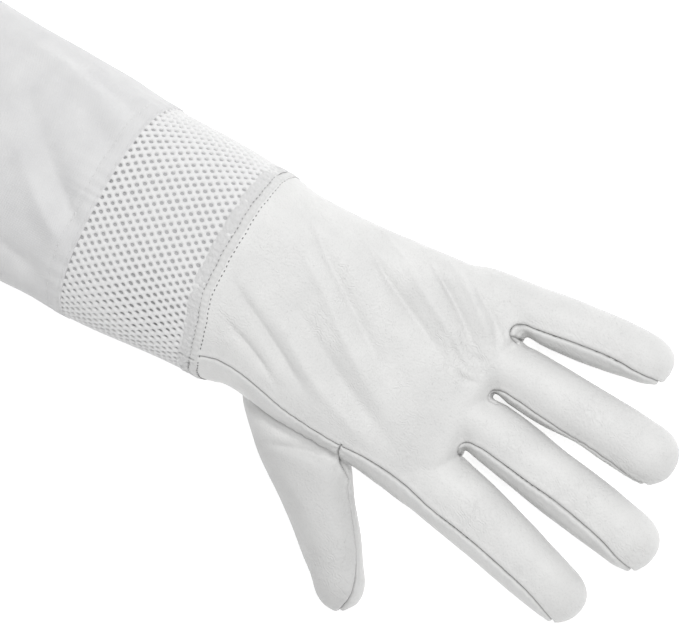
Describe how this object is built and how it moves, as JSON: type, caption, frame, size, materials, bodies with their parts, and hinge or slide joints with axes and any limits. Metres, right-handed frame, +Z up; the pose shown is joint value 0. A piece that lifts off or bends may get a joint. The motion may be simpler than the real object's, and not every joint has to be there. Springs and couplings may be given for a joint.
{
  "type": "beekeeping glove",
  "caption": "Long beekeeping glove for the left hand: leather hand, ventilated mesh wrist band and canvas gauntlet sleeve with an elastic elbow hem.",
  "frame": {"origin": "on the surface it lies on, below the middle of its box, glove palm down", "axes": "+X along the forearm towards the fingertips, +Y towards the little finger, +Z up out of the back of the hand"},
  "size_m": [0.499, 0.1876, 0.096],
  "materials": {
    "leather": "soft fine-grained, matt",
    "canvas": "plain-woven cotton",
    "spacer_mesh": "three-layer knitted spacer mesh",
    "binding": "folded tape, stitched",
    "elastic": "woven elastic"
  },
  "bodies": {
    "sleeve": {"elbow_hem": "canvas", "elbow_elastic": "elastic", "sleeve_canvas": "canvas", "vent_mesh": "spacer_mesh", "cuff_binding": "binding", "wrist_back": "leather", "wrist_palm": "leather", "wrist_side_strip": "leather"},
    "hand": {"hand_back": "leather", "hand_palm": "leather", "hand_side_strip": "leather", "crotch_gusset_index_middle": "leather", "crotch_gusset_middle_ring": "leather", "crotch_gusset_ring_little": "leather", "thumb_root_bend": "leather", "index_root_bend": "leather", "middle_root_bend": "leather", "ring_root_bend": "leather", "little_root_bend": "leather"},
    "index_base": {"index_base_back": "leather", "index_base_palm": "leather", "index_base_fourchette": "leather", "index_mid_bend": "leather"},
    "index_tip": {"index_tip_back": "leather", "index_tip_palm": "leather", "index_tip_fourchette": "leather"},
    "middle_base": {"middle_base_back": "leather", "middle_base_palm": "leather", "middle_base_fourchette": "leather", "middle_mid_bend": "leather"},
    "middle_tip": {"middle_tip_back": "leather", "middle_tip_palm": "leather", "middle_tip_fourchette": "leather"},
    "ring_base": {"ring_base_back": "leather", "ring_base_palm": "leather", "ring_base_fourchette": "leather", "ring_mid_bend": "leather"},
    "ring_tip": {"ring_tip_back": "leather", "ring_tip_palm": "leather", "ring_tip_fourchette": "leather"},
    "little_base": {"little_base_back": "leather", "little_base_palm": "leather", "little_base_fourchette": "leather", "little_mid_bend": "leather"},
    "little_tip": {"little_tip_back": "leather", "little_tip_palm": "leather", "little_tip_fourchette": "leather"},
    "thumb_base": {"thumb_base_back": "leather", "thumb_base_palm": "leather", "thumb_mid_bend": "leather"},
    "thumb_tip": {"thumb_tip_back": "leather", "thumb_tip_palm": "leather"}
  },
  "joints": [
    {"name": "wrist_flex", "type": "hinge", "parent": "sleeve", "child": "hand", "pos_m": [0.05454, 0.01918, 0.033], "axis": [0, 1, 0], "range_deg": [-45, 45], "deforming": ["wrist_back", "wrist_palm", "wrist_side_strip"]},
    {"name": "index_root_flex", "type": "hinge", "parent": "hand", "child": "index_base", "pos_m": [0.16166, -0.01744, 0.013], "axis": [0.2419, 0.9703, 0], "range_deg": [-10, 75], "deforming": ["index_root_bend"]},
    {"name": "index_mid_flex", "type": "hinge", "parent": "index_base", "child": "index_tip", "pos_m": [0.19805, -0.02651, 0.013], "axis": [0.2419, 0.9703, 0], "range_deg": [0, 80], "deforming": ["index_mid_bend"]},
    {"name": "middle_root_flex", "type": "hinge", "parent": "hand", "child": "middle_base", "pos_m": [0.16188, 0.01583, 0.013], "axis": [0.1564, 0.9877, 0], "range_deg": [-10, 75], "deforming": ["middle_root_bend"]},
    {"name": "middle_mid_flex", "type": "hinge", "parent": "middle_base", "child": "middle_tip", "pos_m": [0.20583, 0.00887, 0.013], "axis": [0.1564, 0.9877, 0], "range_deg": [0, 80], "deforming": ["middle_mid_bend"]},
    {"name": "ring_root_flex", "type": "hinge", "parent": "hand", "child": "ring_base", "pos_m": [0.16202, 0.04693, 0.013], "axis": [0.0523, 0.9986, 0], "range_deg": [-10, 75], "deforming": ["ring_root_bend"]},
    {"name": "ring_mid_flex", "type": "hinge", "parent": "ring_base", "child": "ring_tip", "pos_m": [0.20146, 0.04486, 0.013], "axis": [0.0523, 0.9986, 0], "range_deg": [0, 80], "deforming": ["ring_mid_bend"]},
    {"name": "little_root_flex", "type": "hinge", "parent": "hand", "child": "little_base", "pos_m": [0.16197, 0.07719, 0.013], "axis": [-0.1045, 0.9945, 0], "range_deg": [-10, 75], "deforming": ["little_root_bend"]},
    {"name": "little_mid_flex", "type": "hinge", "parent": "little_base", "child": "little_tip", "pos_m": [0.1923, 0.08038, 0.013], "axis": [-0.1045, 0.9945, 0], "range_deg": [0, 80], "deforming": ["little_mid_bend"]},
    {"name": "thumb_root_flex", "type": "hinge", "parent": "hand", "child": "thumb_base", "pos_m": [0.10176, -0.04015, 0.0135], "axis": [0.8039, 0.5948, 0], "range_deg": [-10, 45], "deforming": ["thumb_root_bend"]},
    {"name": "thumb_mid_flex", "type": "hinge", "parent": "thumb_base", "child": "thumb_tip", "pos_m": [0.1202, -0.06507, 0.0135], "axis": [0.8039, 0.5948, 0], "range_deg": [0, 60], "deforming": ["thumb_mid_bend"]}
  ]
}
